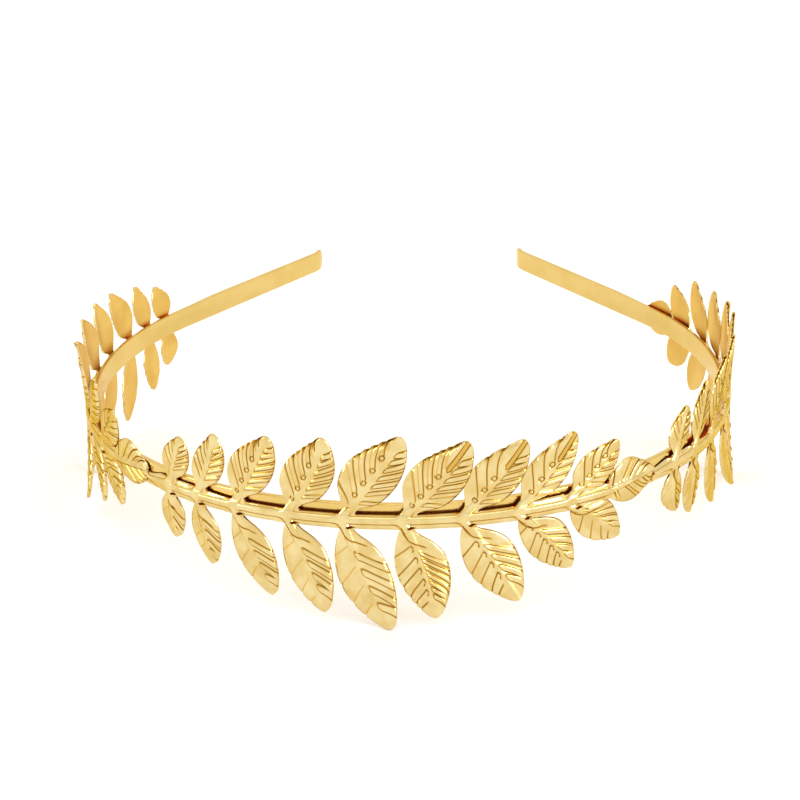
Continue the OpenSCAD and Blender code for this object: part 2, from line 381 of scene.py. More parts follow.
# Share of the leaf over which the slant grows, on an upper heel side and elsewhere, and how
# steeply it falls towards the tip
UPPER_RISE, PLAIN_RISE, TIP_FALL = 0.14, 0.3, 2.4
# How much sooner the margins end than the midrib
TIP_ROUND = 0.35


def vein_angle(leaf, across):
    return math.radians((HEEL_VEINS if across < 0 else TOE_VEINS)[leaf.kind])


def row_count(leaf):
    return 2 * round(leaf.length / ROW_STEP / 2) + NECK_ROWS


def row_at(leaf, share):
    """The grid's rows are close together in the neck and even in the blade."""
    step = share * row_count(leaf)
    if step <= NECK_ROWS:
        return NECK_PART * step / NECK_ROWS
    return mix(NECK_PART, 1, (step - NECK_ROWS) / (row_count(leaf) - NECK_ROWS))


def slanted(leaf, row, across):
    """Share of the leaf's length at a column, for a row that starts at the midrib."""
    slant = min(leaf.width / 2 / leaf.length / math.tan(vein_angle(leaf, across)), MOST_SLANT)
    rise = UPPER_RISE if leaf.kind == "upper" and across < 0 else PLAIN_RISE
    return row + abs(across) * slant * min(smooth(row / rise), (1 - row) * TIP_FALL)


def blade_place(leaf, row, across):
    """t and w of a grid vertex: row runs from 0 at the stem to 1 at the tip."""
    foot_t, foot_w = to_leaf(leaf, *foot(leaf, across))
    t = mix(foot_t, leaf.length - TIP_ROUND * across**2, slanted(leaf, row, across))
    share = max(t, 0) / leaf.length
    w = across * half_width(leaf, share, across) + leaf.bow * 4 * share * (1 - share)
    left = 1 - min(row / mix(*NECKS[leaf.kind], (across + 1) / 2), 1)
    return t, mix(w, foot_w, left**2)


print("the longest leaf has", row_count(LONGEST), "rows")

# %% [markdown]
# The stem's grid has one column for each column of a leaf that starts on it, so the grids share
# their vertices, and even columns in the gaps between two feet. The feet of an upper and a lower
# leaf lie a little apart, so a column has one place on the upper edge and one on the lower.

# %% Place the stem's columns
COLUMNS = 32
GAP_COLUMNS = 12


def spaced(last, next_foot):
    """Even columns from the last pair of places to the next."""
    return [
        tuple(mix(a, b, i / GAP_COLUMNS) for a, b in zip(last, next_foot))
        for i in range(1, GAP_COLUMNS + 1)
    ]


def stem_columns():
    columns = [(0.0, 0.0)]
    for upper, lower in zip(UPPER_LEAVES, LOWER_LEAVES):
        columns += spaced(columns[-1], (foot(upper, -1)[0], foot(lower, -1)[0]))
        places = [across_at(i / COLUMNS) for i in range(1, COLUMNS + 1)]
        columns += [(foot(upper, across)[0], foot(lower, across)[0]) for across in places]
    return columns + spaced(columns[-1], (END_LEAF_AT, END_LEAF_AT))


STEM_COLUMNS = stem_columns()
print("the stem's grid has", len(STEM_COLUMNS), "columns")

# %% [markdown]
# ## The relief
# The die raises a rib along the stem and a softer rib along each leaf. One function gives the
# distance from both at once, with a rounded inner corner where they meet, so the grids of stem
# and leaf agree on their common edge. The distance is then turned into a steep or a soft bank.

# %% Raise the ribs
RIB_W, RIB_H = 1.3, 0.35
# Half the width of a steep and of a soft bank, and how soon a midrib's bank is soft
BANK, SOFT_BANK, SOFTENING = 0.16, 0.5, 3
# Half the width of a midrib at its foot and near its tip, and how soon it has slimmed
MIDRIB_FOOT, MIDRIB_TIP, SLIMMING = 0.62, 0.3, 1.5
# How much of its height a midrib has lost at its tip, what share of that an upper one has lost
# beside the stem already, and how far from the stem's rib that is
MIDRIB_FADE, UPPER_FADE, FADE_LEN = 0.65, 0.75, 0.8
FILLET = {"heel": 1.8, "toe": 0.3}
# The length over which the stem's rib turns into the end leaf's midrib
END_RIB_EASE = 2


def bank(distance, soft):
    """1 inside a raised shape and 0 outside it, for a signed distance from its edge."""
    return smooth(0.5 - distance / (2 * soft))


def line(distance, width):
    """1 on a line, falling to 0 at its width to either side."""
    return max(0.0, 1 - abs(distance) / width)


def joined(a, b, fillet):
    """Signed distance to two shapes with a rounded inner corner where they meet."""
    blend_share = max(fillet - abs(a - b), 0) / fillet
    return min(a, b) - blend_share**2 * fillet / 4


def rib_place(leaf, x, y):
    """Distance from the edge of the stem's rib and a leaf's midrib, its softness, its height."""
    stem = abs(y) - RIB_W / 2 + BANK / 2
    t, w = to_leaf(leaf, x, y)
    share = min(max(t / leaf.length, 0), 1)
    w -= leaf.bow * 4 * share * (1 - share)
    off_stem = smooth(stem / FADE_LEN)
    soft = mix(BANK, SOFT_BANK, smooth(share * SOFTENING) * off_stem)
    midrib = math.hypot(w, max(-t, 0)) - mix(MIDRIB_FOOT, MIDRIB_TIP, smooth(share * SLIMMING))
    fade = mix(UPPER_FADE, 1, share) if leaf.kind == "upper" else share
    height = RIB_H * (1 - MIDRIB_FADE * fade * off_stem)
    if leaf.kind == "end":
        own = smooth(t / END_RIB_EASE)
        return mix(stem, midrib, own), mix(BANK, soft, own), height
    fillet = mix(FILLET["toe"], FILLET["heel"], smooth(0.5 - w))
    return joined(stem, midrib, fillet), soft, height


print("on the edge of the rib, the bank is at", bank(0, BANK), "of its height")

# %% [markdown]
# ## The veins
# The veins of the real leaves are not all alike. On most upper leaves the heel side has thin
# engraved lines with a small ring at their inner ends, and the toe side has raised bars with
# round ends. On a lower leaf the heel lines end in a hook, or simply end, and most bars are
# wider. A table with one row for each leaf keeps all of that in one place.

# %% List the veins
# first and pitch: mm along the midrib to the first vein, and from vein to vein.
# mark: how a heel line ends. every: 1 if each line has the mark, 2 if each second line has it
# and the others are fainter.
# depth: how strong the heel lines are. bar: half the width of a raised bar.
# inner: how far from the midrib the bars start. tip: what the midrib ends in.
HeelVeins = namedtuple("HeelVeins", "first pitch mark every depth")
ToeVeins = namedtuple("ToeVeins", "first pitch bar inner tip")
UPPER_VEINS = [
    (HeelVeins(2, 1.5, "plain", 1, 0.8), ToeVeins(2.2, 1.5, 0.3, 0.7, "plain")),
    (HeelVeins(1.6, 1.5, "plain", 1, 1), ToeVeins(2.4, 1.5, 0.3, 0.7, "plain")),
    (HeelVeins(1.9, 1.2, "ring", 2, 1), ToeVeins(2.6, 1.5, 0.3, 0.9, "plain")),
    (HeelVeins(2.1, 1.2, "ring", 2, 1), ToeVeins(2.6, 1.7, 0.32, 1.1, "plain")),
    (HeelVeins(1.4, 1.35, "ring", 2, 1), ToeVeins(2.4, 1.8, 0.38, 1.25, "plain")),
    (HeelVeins(2.1, 1.12, "ring", 2, 1), ToeVeins(2.4, 1.9, 0.42, 1.1, "wedge")),
    (HeelVeins(2.4, 2.5, "ring", 1, 1), ToeVeins(2.2, 1.8, 0.4, 0.8, "wedge")),
    (HeelVeins(2.6, 2.9, "ring", 1, 1), ToeVeins(2.2, 2, 0.45, 0.8, "wedge")),
    (HeelVeins(2, 2.1, "ring", 1, 1), ToeVeins(2, 2.2, 0.5, 0.8, "plain")),
]
LOWER_VEINS = [
    (HeelVeins(2.2, 2.6, "plain", 1, 0.4), ToeVeins(2.4, 2.2, 0.4, 0.6, "plain")),
    (HeelVeins(2.2, 2.6, "plain", 1, 0.5), ToeVeins(3, 2, 0.4, 0.6, "plain")),
    (HeelVeins(3, 3.4, "plain", 1, 0.6), ToeVeins(5, 2.4, 0.45, 0.6, "plain")),
    (HeelVeins(3, 3.4, "plain", 1, 0.5), ToeVeins(5, 2.3, 0.45, 0.6, "plain")),
    (HeelVeins(3, 3.6, "plain", 1, 0.5), ToeVeins(5, 3.3, 0.5, 0.35, "plain")),
    (HeelVeins(2.9, 2.1, "hook", 1, 1), ToeVeins(4.4, 1.4, 0.27, 0.5, "plain")),
    (HeelVeins(3, 2.3, "hook", 1, 1), ToeVeins(4.6, 2.3, 0.48, 0.6, "plain")),
    (HeelVeins(1.8, 1.9, "hook", 1, 1), ToeVeins(4.4, 2.3, 0.48, 0.6, "plain")),
    (HeelVeins(2.5, 2.2, "plain", 1, 0.9), ToeVeins(2.4, 2.1, 0.48, 0.6, "plain")),
]
END_VEINS = [(HeelVeins(1, 1.7, "plain", 1, 1.3), ToeVeins(1.4, 2.3, 0.22, 0.5, "plain"))]
VEINS = UPPER_VEINS + LOWER_VEINS + END_VEINS
print(len(VEINS), "leaves have a row in the table of veins")

# %% [markdown]
# A place on a blade is measured from the nearest vein: along the midrib, and square to the vein.
# Both follow the slanted rows, so a line stays a line where the rows bend.

# %% Measure from the nearest vein
LAST_VEIN = 0.82


def nearest(leaf, row, veins, last=LAST_VEIN):
    """Distance along the midrib from the nearest vein, and the vein's number."""
    along = row * leaf.length
    count = int((last * leaf.length - veins.first) / veins.pitch)
    number = min(max(round((along - veins.first) / veins.pitch), 0), count)
    return along - veins.first - number * veins.pitch, number


def beside(leaf, row, across, gap):
    """Distance square to a vein that lies a gap behind this row, measured along the midrib."""
    ahead = slanted(leaf, row, across) - slanted(leaf, row - gap / leaf.length, across)
    return ahead * leaf.length * math.sin(vein_angle(leaf, across))


last_line = nearest(LONGEST, 1, VEINS[LEAVES.index(LONGEST)][0])[1]
print("the longest leaf has", last_line + 1, "heel lines")

# %% [markdown]
# The heel side has the engraved lines, cut into the sheet and painted darker as shade. The sheet
# around each line is tilted a little, so it steps down midway between two lines like roof tiles.
# Where a line meets the margin of an upper leaf it ends in a dark spot. The rings and hooks are
# circles around points beside the lines' inner ends, of which a hook keeps only a part, and they
# are cut and painted like the lines.

# %% Engrave the heel side
INNER_HEEL = 0.6
LINE_W, LINE_DEPTH, LINE_EASE = 0.19, 0.12, 0.2
PLAIN_LINE = 0.5
PANEL_TILT = 0.14
# Radius, line width and strength of a ring, how soft its inside is, and where a hook is cut off
MARK_R, MARK_W, MARK_CUT, MARK_SOFT, HOOK_TO = 0.4, 0.2, 1.2, 0.1, 0.2
# Along the vein from INNER_HEEL: the ring's middle, and where the line itself starts
MARK_AT = {"ring": -0.1, "hook": 0.1, "plain": 0}
LINE_FROM = {"ring": -0.4, "hook": 0.1, "plain": 0}
# How much sooner the marks stop than the lines, as a share of the leaf's length
LAST_MARK = 0.09
# Strength, core and fading rim of a dark spot, and from which row on there are any
SPOT, SPOT_CORE, SPOT_R, SPOTS_FROM = 1.3, 0.1, 0.5, 0.25


def heel_relief(leaf, heel, row, across, half, last):
    """Height, and how dark the painted lines and marks are, on the heel side, with the last line at
    a share of the length.
    """
    angle = vein_angle(leaf, across)
    gap, number = nearest(leaf, row, heel, last)
    aside = beside(leaf, row, across, gap)
    along = (abs(across) * half - INNER_HEEL) / math.sin(angle)
    strength = 1 if number % heel.every == 0 else PLAIN_LINE
    cut = strength * line(aside, LINE_W) * smooth((along - LINE_FROM[heel.mark]) / LINE_EASE)
    # A ring lies on the stem's side of its line and is freed of the rows' slant, and a hook
    # lies on the tip's side
    shift, lean = (-1, 1 / math.tan(angle)) if heel.mark == "ring" else (1, 0)
    first = heel.first + shift * MARK_R / math.sin(angle)
    marked = heel._replace(first=first, pitch=heel.pitch * heel.every)
    off_mark = beside(leaf, row, across, nearest(leaf, row, marked, last - LAST_MARK)[0])
    mark = math.hypot(along + lean * off_mark - MARK_AT[heel.mark], off_mark) - MARK_R
    if heel.mark == "ring" or heel.mark == "hook" and along < HOOK_TO:
        cut = max(cut * smooth(mark / MARK_SOFT + 1), MARK_CUT * line(mark, MARK_W))
    tilt = PANEL_TILT * gap / heel.pitch * smooth(abs(across) * half)
    spot = 0
    if leaf.kind == "upper" and row > SPOTS_FROM:
        end = math.hypot((1 - abs(across)) * half, aside) - SPOT_CORE
        spot = SPOT * line(max(end, 0), SPOT_R)
    return (tilt - LINE_DEPTH * cut) * heel.depth, max(cut, spot) * heel.depth


print("the rings are", 2 * MARK_R, "mm wide")

# %% [markdown]
# The toe side has raised bars with a fine line around them, painted dark as the shade at the
# foot of each bar. On three upper leaves the midrib's tip is a flat wedge with a dark outline,
# which covers what lies below it on both sides.

# %% Raise the toe side's bars and the wedge
BAR_H, BAR_BANK, BAR_LINE = 0.2, 0.13, 0.06
# From which row on there is a wedge, half its width, its tone, its edge and its outline
WEDGE_AT, WEDGE_W, WEDGE_TONE, WEDGE_BANK, WEDGE_LINE = 0.62, 0.42, 0.42, 0.1, 1.2


def toe_relief(leaf, toe, row, across, half):
    """Height, and how dark the painted outlines of the bars are, on the toe side."""
    along = (abs(across) * half - toe.inner) / math.sin(vein_angle(leaf, across))
    aside = beside(leaf, row, across, nearest(leaf, row, toe)[0])
    bar = math.hypot(min(along, 0), aside) - toe.bar
    return BAR_H * bank(bar, BAR_BANK), line(bar - BAR_LINE, LINE_W)


def vein_relief(leaf, heel, toe, row, across, half):
    """Height, and how dark the painted lines and marks are, on a blade, from the vertex's row and
    how far across it is.
    """
    if across < 0:
        last = WEDGE_AT if toe.tip == "wedge" else LAST_VEIN
        height, cut = heel_relief(leaf, heel, row, across, half, last)
    else:
        height, cut = toe_relief(leaf, toe, row, across, half)
    if toe.tip == "wedge":
        wedge = max(abs(across) * half - WEDGE_W, (WEDGE_AT - row) * leaf.length)
        inside = bank(wedge, WEDGE_BANK)
        height = mix(height, 0, inside)
        cut = max(mix(cut, WEDGE_TONE, inside), WEDGE_LINE * line(wedge, LINE_W))
    return height, cut


print(sum(toe.tip == "wedge" for heel, toe in VEINS), "leaves have a wedge")

# %% [markdown]
# ## Stamping the flat spray
# bmesh makes each grid with one operator, and its vertices are then moved to their places. The
# height goes into z. Two attributes carry the height of the sheet's smooth back and the strength
# of the painted shade in the lines, which the gold can read, and a third marks the odd rows and
# columns for later.

# %% Make one grid
def add_grid(bm, columns, rows, place):
    """A grid of cells; place gives x, y, front, back and cut, the strength of the painted shade,
    for a column and row from 0 to 1.
    """
    painted_shade_layer = bm.verts.layers.float["painted_shade"]
    back_layer = bm.verts.layers.float["back"]
    odd_layer = bm.verts.layers.int["odd"]
    for v in bmesh.ops.create_grid(bm, x_segments=columns, y_segments=rows, size=1)["verts"]:
        column, row = (v.co.x + 1) / 2, (v.co.y + 1) / 2
        x, y, front, v[back_layer], v[painted_shade_layer] = place(column, row)
        v.co = (x, y, front)
        v[odd_layer] = round(column * columns) % 2 + round(row * rows) % 2


print("the longest leaf's grid has", COLUMNS, "by", row_count(LONGEST), "cells")

# %% [markdown]
# The stem has a raised rib, and the fine line on either side of it is painted dark as the shade
# at the foot of its bank. Its margins roll back a little between the feet, and near the spray's
# ends the wide upper margin slopes like a ledge. On the toe side of each lower leaf's foot a small
# dark shadow is painted where the leaf meets the strip. A line that starts on the foot's heel
# side and crosses the midrib borders the leaf's first panel; it is only painted, as the shade of
# a groove.

# %% Shape the stem
SHEET_T = 0.45
FRAME_LINE, RIB_LINE_SHADE = 0.12, 0.8
# How far a margin rolls back and over what width, how steep the ledge is, and how far from a
# foot both have set in
MARGIN_ROLL, ROLL_W, LEDGE_FALL, FOOT_EASE = 0.15, 0.35, 0.26, 0.6
# The painted foot shadow's place from the leaf's own and from the rib's middle, then half its
# length and height, how dark it is and how steep its edge is
FOOT_SHADOW_AT, FOOT_SHADOW_Y = 0.75, -1.3
FOOT_SHADOW_LONG, FOOT_SHADOW_HIGH, FOOT_SHADOW_DARK, FOOT_SHADOW_EDGE = 0.7, 0.26, 2, 3
# The panel's painted line as points along and across the leaf
PANEL_LINE = [(-0.3, -0.75), (1.1, -0.75), (2.2, -0.35), (3, 0.4), (4.4, 2)]
PANEL_W = 0.25


def panel_line_shade(t, w):
    """Painted shade of the line that borders the first panel of a lower leaf."""
    nearby = []
    for (t0, w0), (t1, w1) in zip(PANEL_LINE, PANEL_LINE[1:]):
        run = (t1 - t0) ** 2 + (w1 - w0) ** 2
        along = min(max(((t - t0) * (t1 - t0) + (w - w0) * (w1 - w0)) / run, 0), 1)
        nearby.append(math.hypot(t - mix(t0, t1, along), w - mix(w0, w1, along)))
    return line(min(nearby), PANEL_W)


def from_feet(leaves, x):
    """Distance along the stem from the nearest foot of these leaves."""
    gaps = [END_LEAF_AT - x]
    for leaf in leaves:
        before, after = FEET[leaf.kind]
        gaps.append(max(leaf.at - before - x, x - leaf.at - after, 0))
    return min(gaps)


def stem_place(column, row):
    top, bottom = STEM_COLUMNS[round(column * (len(STEM_COLUMNS) - 1))]
    height = (across_at(row) + 1) / 2
    x, y = mix(bottom, top, height), mix(-SHEET_DOWN, sheet_up(top), height)
    leaves = UPPER_LEAVES if y > 0 else LOWER_LEAVES
    leaf = min(leaves, key=lambda leaf: abs(to_leaf(leaf, x, y)[1]))
    edge, soft, rib = rib_place(leaf, x, y)
    # The fine lines at the rib's edges are painted shade.
    cut = line(edge - soft, FRAME_LINE) * RIB_LINE_SHADE
    if leaf.kind == "lower":
        # A dark shadow is painted where a lower leaf's foot meets the strip.
        foot_shadow = math.hypot((x - leaf.at - FOOT_SHADOW_AT) / FOOT_SHADOW_LONG, (y - FOOT_SHADOW_Y) / FOOT_SHADOW_HIGH)
        dark = FOOT_SHADOW_DARK * smooth((1 - foot_shadow) * FOOT_SHADOW_EDGE)
        cut = max(cut, dark, panel_line_shade(*to_leaf(leaf, x, y)))
    to_edge = min(sheet_up(top) - y, y + SHEET_DOWN)
    free = smooth(from_feet(leaves, x) / FOOT_EASE)
    roll = MARGIN_ROLL * (1 - smooth(to_edge / ROLL_W)) * free
    roll += LEDGE_FALL * wide_share(x) * max(y - RIB_W / 2, 0) * free
    return x, y, SHEET_T + rib * bank(edge, soft) - roll, 0, cut


print("the sheet is", SHEET_T, "mm thick, and its rib stands", RIB_H, "mm over it")

# %% [markdown]
# A leaf leans out towards its tip and is cupped, its two margins lower than its midrib. Its heel
# margin is scalloped, because it draws in at every line. The veins grow from nothing over the
# first rows, so that a leaf and the stem agree where they meet, and they fade out again where
# the margin rolls back.

# %% Shape a leaf
CUP, LEAN, FULL_WIDTH = 0.5, 1.6, 8
VEINS_FROM = 0.08
# Depth and half width of a scallop, from which row on there are any, and how near they stay to
# the margin
SCALLOP, SCALLOP_W, SCALLOPS_FROM, SCALLOP_POWER = 0.32, 0.5, 0.3, 6


def leaf_place(leaf, heel, toe):
    """Makes the function that places the vertices of one leaf's grid."""
    def place(column, row):
        across = across_at(column)
        row = row_at(leaf, row)
        t, w = blade_place(leaf, row, across)
        share = min(max(t / leaf.length, 0), 1)
        half = half_width(leaf, share, across)
        if across < 0 and row > SCALLOPS_FROM:
            drawn_in = line(nearest(leaf, row, heel)[0], SCALLOP_W)
            deep = heel.depth if leaf.kind == "upper" else 1
            w += SCALLOP * deep * abs(across) ** SCALLOP_POWER * drawn_in * share
        x, y = to_flat(leaf, t, w)
        free = share * min(row / NECK_PART, 1)
        back = leaf.out * free**LEAN
        back -= CUP * across**2 * leaf.width / FULL_WIDTH * free * math.sin(math.pi * share)
        grown = smooth(row / VEINS_FROM)
        edge, soft, rib = rib_place(leaf, x, y)
        vein, cut = vein_relief(leaf, heel, toe, row, across, half)
        inner = smooth((1 - abs(across)) * half / ROLL_W)
        fine = (vein * inner - MARGIN_ROLL * (1 - inner)) * grown
        cut = mix(line(edge - soft, FRAME_LINE) * RIB_LINE_SHADE, cut, grown)
        if leaf.kind == "lower":
            cut = max(cut, panel_line_shade(t, w))
        return x, y, back + SHEET_T + rib * bank(edge, soft) + fine, back, cut

    return place


print("a leaf", FULL_WIDTH, "mm wide is cupped by", CUP, "mm")

# %% [markdown]
# The stem's grid and the leaves' grids are laid into one bmesh and welded where they meet. The
# welding distance is far smaller than a cell, so only vertices that fall together are joined.

# %% Lay out the stamped face
WELD = 0.002


def lay_face():
    bm = bmesh.new()
    for name in ("painted_shade", "back"):
        bm.verts.layers.float.new(name)
    bm.verts.layers.int.new("odd")
    add_grid(bm, len(STEM_COLUMNS) - 1, COLUMNS, stem_place)
    for leaf, (heel, toe) in zip(LEAVES, VEINS):
        add_grid(bm, COLUMNS, row_count(leaf), leaf_place(leaf, heel, toe))
    bmesh.ops.remove_doubles(bm, verts=bm.verts, dist=WELD)
    return bm


flat_spray = lay_face()
print("the stamped face has", len(flat_spray.faces), "faces")

# %% [markdown]
# Extruding the whole face gives the sheet its back and its rim in one step. The back has no
# veins, so every second row and column of it is dissolved, first where both are odd and then
# what is left of them. The back's faces get a material slot of their own.

# %% Give the sheet its back
BACK_SLOT = 1


def add_back(bm):
    made = bmesh.ops.extrude_face_region(bm, geom=everything(bm), use_keep_orig=True)
    back = [v for v in made["geom"] if isinstance(v, bmesh.types.BMVert)]
    back_layer, odd_layer = bm.verts.layers.float["back"], bm.verts.layers.int["odd"]
    painted_shade_layer = bm.verts.layers.float["painted_shade"]
    made_verts = set(back)
    for v in back:
        v.co.z = v[back_layer]
        v[painted_shade_layer] = 0
    plain = [v for v in back if all(e.other_vert(v) in made_verts for e in v.link_edges)]
    bmesh.ops.dissolve_verts(bm, verts=[v for v in plain if v[odd_layer] == 2])
    left = [v for v in plain if v.is_valid and v[odd_layer] == 1 and len(v.link_edges) == 2]
    bmesh.ops.dissolve_verts(bm, verts=left)
    for face in bm.faces:
        face.material_index = BACK_SLOT if all(v in made_verts for v in face.verts) else 0
    bmesh.ops.recalc_face_normals(bm, faces=bm.faces)


add_back(flat_spray)
open_edges = sum(1 for e in flat_spray.edges if len(e.link_faces) != 2)
print("flat spray:", len(flat_spray.faces), "faces,", open_edges, "open edges")

# %% [markdown]
# ## Bending the sprays to the strip
# All three sprays come from one die, so the flat sheet is made once and bent three times. A spray
# nearly touches the strip at its two ends and bows off it in between, which leaves dark slots.
# Its stem starts narrow, because the end leaf of the spray before it lies there.

# %% Bend and place the sprays
SPRAY_PITCH, SPRAY_START = 98.5, -49
STEM_Z = -0.4
# The gap at a spray's ends, how much more there is in its middle, and how full the bow is
JOINT_GAP, STAND_RISE, STAND_BOW = 0.12, 0.7, 0.65
# How narrow the stem starts, and from where on it has its full height
STEM_TAPER, TAPER_LEN = 0.45, 4.6
CORNER = math.radians(65)


def on_spray(start, x, y, lift):
    """From the flat spray to its place on the strip, in metres."""
    bow = max(0.0, math.sin(math.pi * x / SPRAY_PITCH)) ** STAND_BOW
    narrow = mix(STEM_TAPER, 1, smooth(x / TAPER_LEN)) if abs(y) <= SHEET_DOWN else 1
    out = BAND_T / 2 + JOINT_GAP + STAND_RISE * bow + lift
    return on_strip(start + x, out, STEM_Z + y * narrow)


def make_spray(name, start):
    bm = flat_spray.copy()
    for v in bm.verts:
        v.co = on_spray(start, *v.co)
    bmesh.ops.recalc_face_normals(bm, faces=bm.faces)
    piece = finish_piece(bm, name)
    piece.data.set_sharp_from_angle(angle=CORNER)
    return piece


sprays = [
    make_spray("left_leaf_spray", SPRAY_START - SPRAY_PITCH),
    make_spray("front_leaf_spray", SPRAY_START),
    make_spray("right_leaf_spray", SPRAY_START + SPRAY_PITCH),
]
flat_spray.free()
for piece in sprays:
    print(piece.name, sum(len(p.vertices) - 2 for p in piece.data.polygons), "triangles")

# %% [markdown]
# ## Gold plate
# All finishes are a thin layer of yellow gold on metal. Gold has no colour of its own but its
# reflections, so the base colour is the colour of its mirror image and metallic is 1. A helper
# adds a node with its settings and links, and another turns a hex colour into Blender's linear one.

# %% Helpers for materials
def hex_colour(code):
    """sRGB hex to linear."""
    channels = [int(code[i : i + 2], 16) / 255 for i in (1, 3, 5)]
    linear = (c / 12.92 if c <= 0.04045 else ((c + 0.055) / 1.055) ** 2.4 for c in channels)
    return tuple(linear) + (1,)


def add(tree, kind, settings=None, inputs=None):
    """Adds a node, gives it its settings, and links or fills its inputs."""
    node = tree.nodes.new(kind)
    for name, value in (settings or {}).items():
        setattr(node, name, value)
    for name, value in (inputs or {}).items():
        if isinstance(value, bpy.types.NodeSocket):
            tree.links.new(value, node.inputs[name])
        else:
            node.inputs[name].default_value = value
    return node


def new_material(name):
    material = bpy.data.materials.new(name)
    material.use_nodes = True
    tree = material.node_tree
    tree.nodes.clear()
    return material, tree


print("middle grey in linear:", round(hex_colour("#808080")[0], 3))

# %% [markdown]
# In the slots between the strip and the sprays, and in other closed places, copper red is
# painted in as painted shade: light that gets out of such places has met gold many times. An
# Ambient Occlusion node finds such places. It tells how open a point is, and the tone turns to
# copper red between two values: one where a place counts as shut and one from which it counts
# as open.

# %% Paint copper-red shade into the slots
SLOT_SHADE_REACH = 1.0
SLOT_SHADE_SAMPLES = 8


def painted_slot_shade(tree, tone, shut, open_from):
    """The tone of the open surface, with copper red painted in as shade where the next surface is
    close.
    """
    openness = add(
        tree, "ShaderNodeAmbientOcclusion", {"samples": SLOT_SHADE_SAMPLES}, {"Distance": SLOT_SHADE_REACH * MM}
    ).outputs["AO"]
    closed = add(tree, "ShaderNodeMapRange", inputs={
        "Value": openness, "From Min": shut, "From Max": open_from, "To Min": 1, "To Max": 0
    }).outputs[0]
    return add(tree, "ShaderNodeMix", {"data_type": "RGBA"}, {
        0: closed, 6: tone, 7: hex_colour("#E06A0A")
    }).outputs[2]


print("a slot is looked for within", SLOT_SHADE_REACH, "mm")

# %% [markdown]
# The sprays are polished gold-plated brass: bright and nearly mirror-like, with the faint
# unevenness of a stamped sheet, whose polish varies over a few millimetres. The engraved lines
# and the fine lines at the edges of ribs and bars are painted darker as painted shade, with a
# warm painted edge beside each line, and the shadow at the foot of each lower leaf is painted a
# dark red brown. A noise's scale is one over its size in mm.

# %% Polished gold plate for the sprays
PER_METRE = (1000, 1000, 1000)
# Clouds of 3.3 mm, and an orange peel of 0.8 mm, drawn coarser than the real one so that it shows
CLOUD_MM, PEEL_MM = 10 / 3, 5 / 6
# A noise lies mostly between the first two values, and clouds change tone between the others
NOISE_LOW, NOISE_HIGH = 0.3, 0.7
CLOUD_LOW, CLOUD_HIGH = 0.38, 0.62
# How open a place on the front of a leaf is where it counts as shut for the painted slot shade, and
# as open
LEAF_SHUT, LEAF_OPEN = 0.1, 0.35


def polished_gold():
    material, tree = new_material("gold_plated_brass_polished")
    place = add(tree, "ShaderNodeTexCoord").outputs["Object"]
    in_mm = add(tree, "ShaderNodeMapping", inputs={"Vector": place, "Scale": PER_METRE}).outputs[0]
    clouds = add(tree, "ShaderNodeTexNoise", inputs={
        "Vector": in_mm, "Scale": 1 / CLOUD_MM, "Detail": 3
    }).outputs[0]
    cut = add(tree, "ShaderNodeAttribute", {"attribute_name": "painted_shade"}).outputs["Fac"]
    tone = hex_colour("#D5BA79")
    # Paler clouds; then painted shade: a line's warm edge, the line itself, and the darkest, in the
    # painted foot shadows
    for value, low, high, code in (
        (clouds, CLOUD_LOW, CLOUD_HIGH, "#DFCB93"),
        (cut, 0.05, 0.42, "#D0A650"),
        (cut, 0.42, 0.9, "#6E4910"),
        (cut, 1.1, 1.8, "#521A06"),
    ):
        share = add(tree, "ShaderNodeMapRange", inputs={
            "Value": value, "From Min": low, "From Max": high
        }).outputs[0]
        tone = add(tree, "ShaderNodeMix", {"data_type": "RGBA"}, {
            0: share, 6: tone, 7: hex_colour(code)
        }).outputs[2]
    peel = add(tree, "ShaderNodeTexNoise", inputs={
        "Vector": in_mm, "Scale": 1 / PEEL_MM, "Detail": 2
    }).outputs[0]
    bump = add(tree, "ShaderNodeBump", inputs={
        "Height": peel, "Strength": 0.25, "Distance": 0.05 * MM
    }).outputs[0]
    roughness = add(tree, "ShaderNodeMapRange", inputs={
        "Value": clouds, "From Min": NOISE_LOW, "From Max": NOISE_HIGH,
        "To Min": 0.14, "To Max": 0.22
    }).outputs[0]
    # Closed places on the sprays' fronts get the painted copper-red shade.
    shader = add(tree, "ShaderNodeBsdfPrincipled", inputs={
        "Base Color": painted_slot_shade(tree, tone, LEAF_SHUT, LEAF_OPEN), "Metallic": 1,
        "Specular Tint": hex_colour("#F4D88C"), "Roughness": roughness, "Normal": bump
    }).outputs[0]
    add(tree, "ShaderNodeOutputMaterial", inputs={"Surface": shader})
    return material


leaf_gold = polished_gold()
print(leaf_gold.name, "has", len(leaf_gold.node_tree.nodes), "nodes")

# %% [markdown]
# The strip is gold-plated steel with a fine satin finish. Its mirror images are a little more
# blurred than those of the leaves, and its gold is deeper. The backs of the sprays are plated but
# never polished, so they are duller and deeper still. One recipe makes both, and its grain blurs
# the reflections unevenly.

# %% Satin gold plate for the strip and the backs
# Clouds of 8 mm, and a grain of 0.33 mm, drawn coarser than the real one so that it shows
SATIN_CLOUD_MM, GRAIN_MM = 25 / 3, 1 / 3
SATIN_SHUT = 0.35


